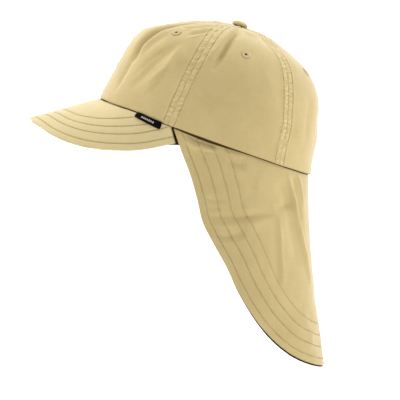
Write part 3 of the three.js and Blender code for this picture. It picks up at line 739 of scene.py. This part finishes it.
# Past the rim both faces run on to the edge that is sewn in under the crown.
rim_line = crown_base(across * PEAK_END, 0.0)
tucked_in = unit(crown_run(across * PEAK_END, 0.0)[0] * [1, 1, 0]) * PEAK_INSIDE
sewn = worn(rim_line - [0, 0, 1.3] - tucked_in)
sewn_under = worn(rim_line - [0, 0, 2.0] - tucked_in)
peak_top = np.concatenate([peak_top, (peak_top[:, -1:] + sewn[:, None]) / 2, sewn[:, None]], 1)
peak_under = np.concatenate([peak_under, sewn_under[::2, None]], 1)
SEWN_LEVELS = ((0, 0), (0, 2))  # the two levels of points that this adds to the top
peak_flat = peak_top[..., :2]
# Painted shade in the crease along the rim and in the stitched grooves.
peak_rim_shade = hump(np.pad(peak_rim, SEWN_LEVELS), 0.6)
peak_light_and_shade = np.pad(np.clip(1.2 + peak_quilting / 0.45, 0, 1), SEWN_LEVELS)  # painted light: paler except in the stitched grooves
peak_light_and_shade += 0.5 * np.pad(peak_fine, SEWN_LEVELS, "edge") - GAP_SHADE_WEIGHT * peak_rim_shade
peak = cloth_mesh("peak_cloth", peak_top, peak_under, peak_flat, peak_light_and_shade)
peak.data.materials.append(tan_poplin)
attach(peak, "root")
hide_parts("peak")
peak_lines = row_lines(peak_top[:, :-2], peak_away, PEAK_ROWS, peak_rim > 1.5)
stitches("peak_stitches", peak_lines, tan_thread)

# Peak underside. A dark brown twill covers the board from below and is caught by the same rows of
# stitches, so it shows them too, and its edge stays just inside the tan one.
UNDERSIDE_TOP = 2.45  # below the peak's plain top
UNDERSIDE_THICKNESS = 0.9
UNDERSIDE_MARGIN = 1.1  # it ends this far inside the peak's edge
UNDERSIDE_TAIL = 6.2  # how far its lower rear corners reach past the peak's ends
# Dry, matt twill: the eye gets a deep brown, nearly black in the shade, with hardly any sheen.
dark_twill = poplin("dark_brown_twill", "#44361F", "#2B2114", "#54442C", 0.9, 0.88, 0.15)
ways = np.linspace(1 - UNDERSIDE_MARGIN / PEAK_DEPTH, 0.03, 81)
across, way = np.meshgrid(np.linspace(-1, 1, 221), ways, indexing="ij")
under_plain = peak_base(across, way)
under_plain[..., 1] += UNDERSIDE_TAIL * way * np.clip((np.abs(across) - 0.96) / 0.04, 0, 1) ** 2
under_away = distance_to(peak_edge, under_plain)
under_rim = np.linalg.norm(under_plain - under_plain[:, -1:], axis=-1)
under_normals = grid_normals(under_plain)
under_fine = row_height(under_away, PEAK_ROWS, under_rim + 1.5) + 0.07 * undulation(under_plain, 24, 8)
under_depth = UNDERSIDE_TOP + UNDERSIDE_THICKNESS + under_fine
under_low = worn(under_plain - under_normals * under_depth[..., None])[::-1]
under_high = worn(under_plain - under_normals * UNDERSIDE_TOP)[::-2, ::2]
# The twill's stitched grooves take painted shade through the material.
underside = cloth_mesh("peak_underside_cloth", under_low, under_high, under_low[..., :2], under_fine[::-1])
underside.data.materials.append(dark_twill)
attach(underside, "root")
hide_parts("peak_underside")
# Matt spun polyester, a little paler than the twill, so its rows just show.
dark_thread = spun_thread("dark_brown_thread", "#4A3D30", "#2C241C")
under_lines = row_lines(under_low, under_away[::-1], PEAK_ROWS, under_rim[::-1] > 1.5)
stitches("peak_underside_stitches", under_lines, dark_thread)

# Side tab. A folded black satin tape is caught in the rim's seam over the peak's left end. Its lower
# corners are rounded by heat cutting, and a row of plain white dashes is woven across its middle.
TAB_ENDS = (52.3, 68.1)  # azimuths in degrees
TAB_LENGTH = 5.2
TAB_SPREAD = 1.4  # its rear end is longer
TAB_TUCK = 0.5  # under the crown's edge
TAB_THICKNESS = 0.9
TAB_LIFT = 0.35  # of its back over the peak
TAB_CURL = 0.35  # more at its hem
TAB_CORNER = 1.9
DASH_HEIGHTS = [0.32, 0.26, 0.3, 0.24, 0.3, 0.26, 0.32]  # shares of its length


def tab_point(s, r, over):
    """A point of the tab, s from its front end to its back, r from its hem to the seam, and over mm
    above the peak's plain top."""
    s, r = np.broadcast_arrays(np.asarray(s, float), np.asarray(r, float))
    across = (TAB_ENDS[0] + (TAB_ENDS[1] - TAB_ENDS[0]) * s) / PEAK_END
    width = peak_base(across, np.ones(s.shape)) - peak_base(across, np.zeros(s.shape))
    width = np.linalg.norm(width, axis=-1)
    way = ((1 - r) * (TAB_LENGTH + TAB_SPREAD * s) - TAB_TUCK) / width
    step = 0.004
    sideways = peak_base(across + step, way) - peak_base(across - step, way)
    upwards = peak_base(across, way - step) - peak_base(across, way + step)
    normal = unit(np.cross(sideways, upwards))
    return peak_base(across, way) + normal * np.asarray(over)[..., None], normal


s, r = np.meshgrid(np.linspace(0, 1, 97), np.linspace(0, 1, 25), indexing="ij")
tab_run = np.linalg.norm(tab_point(1.0, 0.0, 0.0)[0] - tab_point(0.0, 0.0, 0.0)[0])
corner = np.clip(1 - np.minimum(s, 1 - s) * tab_run / TAB_CORNER, 0, 1)
lift = TAB_CORNER * (1 - np.sqrt(1 - corner**2)) / TAB_LENGTH
r = r * (1 - lift) + lift
ribs = 0.05 * np.sin(2 * np.pi * s * tab_run / 0.9)
raised = TAB_LIFT + TAB_CURL * (1 - r) ** 2
border = 0.3 * hump(np.minimum(s, 1 - s) * tab_run, 0.35) + 0.3 * hump((r - lift) * TAB_LENGTH, 0.3)
tab_face = worn(tab_point(s, r, raised + TAB_THICKNESS + ribs - border)[0])
tab_back = worn(tab_point(s[::2, ::2], r[::2, ::2], (raised + border * 0.5)[::2, ::2])[0])
# Black polyester satin, which gives the eye a soft dark sheen and one faint highlight.
black_satin = poplin("black_satin_tape", "#0C0908", "#060504", "#151211", 0.5, 0.7, 0.08)
tab_flat = np.stack([s * tab_run, r * TAB_LENGTH], -1)
# The ribs' troughs take a faint painted shade through the material.
tab = cloth_mesh("side_tab_tape", tab_face, tab_back, tab_flat, ribs * 2)
tab.data.materials.append(black_satin)
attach(tab, "root")
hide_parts("side_tab")
# Bright white floss, the palest thing on the cap.
white_thread = spun_thread("white_woven_thread", "#D9D7D2", "#A9A7A2")
for k, height in enumerate(DASH_HEIGHTS):
    centre = 0.28 + 0.44 * k / (len(DASH_HEIGHTS) - 1)
    u, v = np.meshgrid(np.linspace(0, 1, 5), np.linspace(0, 1, 7), indexing="ij")
    s = centre + 0.04 * (u - 0.5)
    r = 0.52 + height * (v - 0.5)
    dome = 0.16 * np.sin(np.pi * u) * np.sin(np.pi * v) ** 0.4
    over = TAB_LIFT + TAB_THICKNESS + TAB_CURL * (1 - r) ** 2
    face = worn(tab_point(s, r, over + 0.04 + dome)[0])
    back = worn(tab_point(s[::2, ::2], r[::2, ::2], over[::2, ::2] - 0.2)[0])
    dash = cloth_mesh(f"tab_dash_{k}", face, back, np.stack([s, r], -1), dome)
    dash.data.materials.append(white_thread)
    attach(dash, "root")

# Neck flap. One piece of the same poplin is sewn inside the crown's rim, behind the peak, and hangs by
# its own weight. Four rows of stitches run alongside its hem, and it falls in soft long folds.
FLAP_START = 74.8  # azimuth of its front end on the rim
FLAP_LENGTH = 174.0  # below the rim at the back
FLAP_TUCK = 8.0  # up inside the crown
FLAP_FLARE = 15.5  # how far its hem stands out at the back
FLAP_CLEARANCE = 0.6  # inside the crown's wall
FLAP_HOLD = 5.0  # below the rim, where the seam keeps it smooth
FLAP_WALL = 0.8
FLAP_GIRTH = 1.55  # mm of rim for each degree
FLAP_ROWS = [6.5, 17.0, 27.5, 38.0]  # of stitches, from the hem
FLAP_RIM_SHADE_TOP = 0.1  # painted shade: what the crown's edge shades under the rim, and more behind the peak
FLAP_HEM = {
    "azimuth": [FLAP_START, 79.6, 84, 88, 91, 96, 103, 110, 119, 129, 140, 152, 166, 180],
    "drop": [0.01, 0.12, 0.209, 0.319, 0.424, 0.505, 0.606, 0.724, 0.832, 0.907, 0.958, 0.982, 0.995, 1.0],
}
FLAP_FOLDS = [  # as the crown's, with the share of the drop for the way up
    ([(82, 0.0), (99, 0.012)], -3.4, 4.0, 0.8),
    ([(81, 0.045), (88, 0.056), (99, 0.036)], 1.8, 3.2, 0.8),
    ([(102, 0.034), (112, 0.018)], 1.3, 3.0, 0.8),
    ([(103, 0.075), (114, 0.062)], -1.8, 4.0, 0.8),
    ([(141.8, 0.02), (148.5, 0.203), (155.2, 0.36), (163, 0.60)], 3.0, 4.2, 0.8),
    ([(151.5, 0.005), (156.5, 0.08), (160, 0.18)], 1.8, 3.0, 0.8),
    ([(147, 0.03), (153, 0.15), (159, 0.32)], -1.8, 3.6, 0.8),
    ([(136, 0.08), (143, 0.25), (149, 0.50)], -1.6, 7.0, 0.8),
    ([(135, 0.24), (135.6, 0.42), (136.4, 0.62)], 1.1, 2.6, 0.8),
    ([(130.5, 0.24), (132, 0.62)], -0.5, 4.0, 0.8),
    ([(131, 0.225), (138, 0.205), (146, 0.165)], -1.2, 3.0, 0.8),
    ([(91, 0.40), (102, 0.36), (112.2, 0.325), (121.8, 0.283), (131, 0.252)], -2.2, 3.6, 0.8),
    ([(94, 0.432), (112, 0.365), (126, 0.305)], 1.0, 3.0, 0.8),
    ([(96, 0.475), (113, 0.409)], -1.5, 3.4, 0.8),
    ([(92.2, 0.309), (102.2, 0.27)], -1.3, 3.4, 0.8),
    ([(104, 0.155), (113, 0.14), (121, 0.15)], -0.9, 4.0, 0.6),
    ([(150, 0.70), (158, 0.90)], 1.2, 7.0, 0.6),
]
FLAP_CREASES = [
    ([(104, 0.365), (118, 0.305), (131, 0.262)], -0.8, 1.6, 0.6),
    ([(93, 0.34), (104, 0.315)], -0.6, 1.8, 0.6),
    ([(97, 0.435), (106, 0.415)], -0.6, 1.8, 0.6),
    ([(97, 0.485), (111, 0.43)], -0.6, 1.8, 0.6),
    ([(132, 0.214), (148, 0.18)], -0.6, 1.8, 0.5),
    ([(142.5, 0.03), (149, 0.21)], 0.8, 1.8, 0.5),
    ([(88, 0.072), (97, 0.058)], -0.6, 1.6, 0.6),
]


def flap_cloth(azimuth, drop, depth):
    """A point of the flap in the worn frame. Azimuth runs over the left and the back to the right,
    drop is mm below the rim, and depth is mm inside the shell's outer face."""
    signed = np.where(azimuth > 180, azimuth - 360, azimuth)
    normal, per_degree, per_share = crown_run(signed, 0.0)
    inset = CROWN_WALL + FLAP_CLEARANCE + depth
    rim = worn(crown_base(signed, 0.0) - normal * np.asarray(inset)[..., None])
    outward = unit(worn(normal) * [1, 1, 0])
    share = np.maximum(drop, 0) / FLAP_LENGTH
    back = (1 - np.cos(np.radians(azimuth))) / 2
    run = (signed, share, per_degree, FLAP_LENGTH * np.ones(share.shape))
    folds = fold_height(FLAP_FOLDS, *run) + fold_height(FLAP_CREASES, *run)
    settled = np.clip(drop / FLAP_HOLD, 0, 1)
    below_rim = rim - [0, 0, 1] * np.maximum(drop, 0)[..., None]
    waves = 0.5 * undulation(below_rim, 42, 11) + 0.17 * undulation(below_rim, 14, 14)
    out = FLAP_FLARE * back**3 * share**1.7 + (folds + waves) * settled
    hung = rim + outward * out[..., None] - [0, 0, 1] * drop[..., None]
    up = np.maximum(-drop, 0) / per_share
    climb, _, _ = crown_run(signed, up)
    tucked = worn(crown_base(signed, up) - climb * np.asarray(inset)[..., None])
    return np.where((drop < 0)[..., None], tucked, hung)


def flap_grid(columns, rows, short=0.0, sag=0.0):
    """Azimuth and drop of each point of a ply whose hem ends short mm above the shell's, and sag mm
    lower than that towards the back."""
    s = np.linspace(0, 1, columns + 1)[:, None]
    way = 1 - np.abs(2 * s - 1)
    short = short - sag * np.clip((way - 0.42) / 0.25, 0, 1)
    hem_azimuth = read(FLAP_HEM["azimuth"], way)
    hem_drop = np.maximum(read(FLAP_HEM["drop"], way) * FLAP_LENGTH - short, 0.4)
    top_azimuth = FLAP_START + (180 - FLAP_START) * way
    # The rows of points lie closer at the stitched border and under the rim.
    height = np.interp(np.linspace(0, 1, rows + 1), [0, 0.45, 0.87, 1], [0, 0.23, 0.9, 1])[None]
    azimuth = hem_azimuth + (top_azimuth - hem_azimuth) * height
    drop = hem_drop + (-FLAP_TUCK - hem_drop) * height
    return np.where(s > 0.5, 360 - azimuth, azimuth), drop


flap_azimuth, flap_drop = flap_grid(340, 210)
flap_plain = flap_cloth(flap_azimuth, flap_drop, 0.0)
flap_away = distance_to(flap_plain[:, 0], flap_plain)
flap_normals = grid_normals(flap_plain)
flap_fine = row_height(flap_away, FLAP_ROWS, np.maximum(flap_drop, 0))
puckers = sum(hump(flap_away - row, 2.4) for row in FLAP_ROWS)
flap_fine += 0.14 * puckers * undulation(flap_plain, 6, 12)
flap_fine -= edge_roll(flap_away, 0.5) * (flap_drop > 1)
flap_top = flap_plain + flap_normals * flap_fine[..., None]
flap_back = flap_cloth(flap_azimuth[::2, ::2], flap_drop[::2, ::2], FLAP_WALL)
flap_flat = np.stack([FLAP_GIRTH * (flap_azimuth - 180), -flap_drop], -1)
flap_way = np.minimum(flap_azimuth, 360 - flap_azimuth)
# Painted shade under the crown's edge and in the stitched grooves.
flap_rim_shade_reach = FLAP_RIM_SHADE_TOP + 1.9 * hump(flap_way - 92, 14)
flap_painted_shade = flap_fine - GAP_SHADE_WEIGHT * np.clip(1 + (flap_rim_shade_reach - flap_drop) / 0.8, 0, 1)
flap = cloth_mesh("neck_flap_shell", flap_top, flap_back, flap_flat, flap_painted_shade)
flap.data.materials.append(tan_poplin)
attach(flap, "root")
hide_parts("neck_flap")
flap_lines = row_lines(flap_top, flap_away, FLAP_ROWS, flap_drop > 3.5)
flap_thread = stitches("neck_flap_stitches", flap_lines, tan_thread)

# Flap lining. A dark brown twill of the same cut backs the shell, is sewn to it along the hem and
# shows as a thin dark line under the hem at the back.
LINING_DEPTH = 1.6  # inside the shell's outer face
LINING_WALL = 0.8
LINING_SHORT = 1.2
LINING_SAG = 2.9
lining_azimuth, lining_drop = flap_grid(260, 160, LINING_SHORT, LINING_SAG)
lining_face = flap_cloth(lining_azimuth, lining_drop, LINING_DEPTH + LINING_WALL)
lining_away = distance_to(lining_face[:, 0], lining_face)
lining_fine = row_height(lining_away, FLAP_ROWS, np.maximum(lining_drop, 0))
lining_inner = (lining_face - grid_normals(lining_face) * lining_fine[..., None])[::-1]
lining_outer = flap_cloth(lining_azimuth[::-2, ::2], lining_drop[::-2, ::2], LINING_DEPTH)
lining_flat = np.stack([FLAP_GIRTH * (lining_azimuth - 180), -lining_drop], -1)[::-1]
# The lining's stitched grooves take painted shade through the material.
lining = cloth_mesh("neck_flap_lining_cloth", lining_inner, lining_outer, lining_flat, lining_fine[::-1])
lining.data.materials.append(dark_twill)
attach(lining, "root")
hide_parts("neck_flap_lining")
lining_lines = row_lines(lining_inner, lining_away[::-1], FLAP_ROWS, lining_drop[::-1] > 3.5)
lining_thread = stitches("neck_flap_lining_stitches", lining_lines, dark_thread)

# Studio. A pale paper floor, clear from below, and a white surround light the cap. The surround glows
# on the far side, overhead and ahead of the peak and little towards the camera, so the cap's edges are
# brightest. Behind the cap it shows as plain white from every side.
floor_mesh = bpy.data.meshes.new("studio_floor")
floor_mesh.from_pydata([(-60, -60, 0), (60, -60, 0), (60, 60, 0), (-60, 60, 0)], [], [(0, 1, 2, 3)])
floor = placed("studio_floor", floor_mesh)
floor.location.z = -0.25
# Matt white paper with the faintest grain, so the floor is near white and unglossy.
pale_paper, tree = bare_material("pale_studio_paper")
grain = add_node(tree, "ShaderNodeTexNoise", [("Scale", 60.0)])
tints = [("data_type", "RGBA"), (6, linear("#FAFAF9")), (7, linear("#FDFDFD"))]
tone = add_node(tree, "ShaderNodeMix", tints, [(0, grain)])
paper = add_node(tree, "ShaderNodeBsdfDiffuse", [("Roughness", 0.0)], [("Color", tone.outputs[2])])
below = add_node(tree, "ShaderNodeNewGeometry").outputs["Backfacing"]
either_side = [(0, below), (1, paper), (2, add_node(tree, "ShaderNodeBsdfTransparent"))]
one_sided = add_node(tree, "ShaderNodeMixShader", [], either_side)
add_node(tree, "ShaderNodeOutputMaterial", [], [("Surface", one_sided)])
floor_mesh.materials.append(pale_paper)
world = bpy.data.worlds.new("white_surround")
world.use_nodes = True
sky = world.node_tree
direction = add_node(sky, "ShaderNodeTexCoord").outputs["Generated"]
glows = []
for way, start, full, brightness in (
    ((-1, 0, 0), -0.2, 0.4, 1.3),
    ((0, -0.2, 0.98), 0.2, 1.0, 1.4),
    ((0, -1, 0), 0.3, 1.0, 0.3),
):
    share = add_node(sky, "ShaderNodeVectorMath", [("operation", "DOT_PRODUCT"), (1, way)], [(0, direction)])
    limits = [("From Min", start), ("From Max", full), ("To Min", 0.0), ("To Max", brightness)]
    limits.append(("interpolation_type", "SMOOTHSTEP"))
    glows.append(add_node(sky, "ShaderNodeMapRange", limits, [("Value", share.outputs["Value"])]))
strength = glows[0]
for glow in glows[1:]:
    joined = [(0, strength), (1, glow)]
    strength = add_node(sky, "ShaderNodeMath", [("operation", "ADD")], joined)
backdrop = add_node(sky, "ShaderNodeLightPath")
seen = [(0, strength), (1, backdrop.outputs["Is Camera Ray"])]
shown = add_node(sky, "ShaderNodeMath", [("operation", "MAXIMUM")], seen)
sky.links.new(shown.outputs[0], sky.nodes["Background"].inputs["Strength"])
sky.nodes["Background"].inputs["Color"].default_value = (1, 1, 1, 1)
bpy.context.scene.world = world


def lamp(name, place, size, watts):
    """A large soft square lamp that faces the cap."""
    light = bpy.data.lights.new(name, "AREA")
    light.size = size
    light.energy = watts
    holder = placed(name, light)
    holder.location = place
    holder.rotation_euler = (-Vector(place)).to_track_quat("-Z", "Y").to_euler()


lamp("front_softbox", (-0.1, -0.9, 1.5), 0.7, 6.8)
lamp("back_softbox", (0.0, 1.6, 0.5), 0.8, 11)

# Camera. A long lens 2 m away, almost square to the wearer's left side and a little above the rim.
camera = bpy.data.cameras.new("camera")
camera.sensor_width = 36.0
camera.lens = 197.7
camera.clip_end = 50.0
viewer = placed("camera", camera)
azimuth, elevation = np.radians(89.5), np.radians(1.8)
level = np.cos(elevation)
viewer.location = 2.0 * Vector((np.sin(azimuth) * level, -np.cos(azimuth) * level, np.sin(elevation)))
aim = Vector((0.0, -0.0048, -0.0581))
viewer.rotation_euler = (aim - viewer.location).to_track_quat("-Z", "Y").to_euler()
bpy.context.scene.camera = viewer
bpy.context.scene.view_settings.view_transform = "Standard"
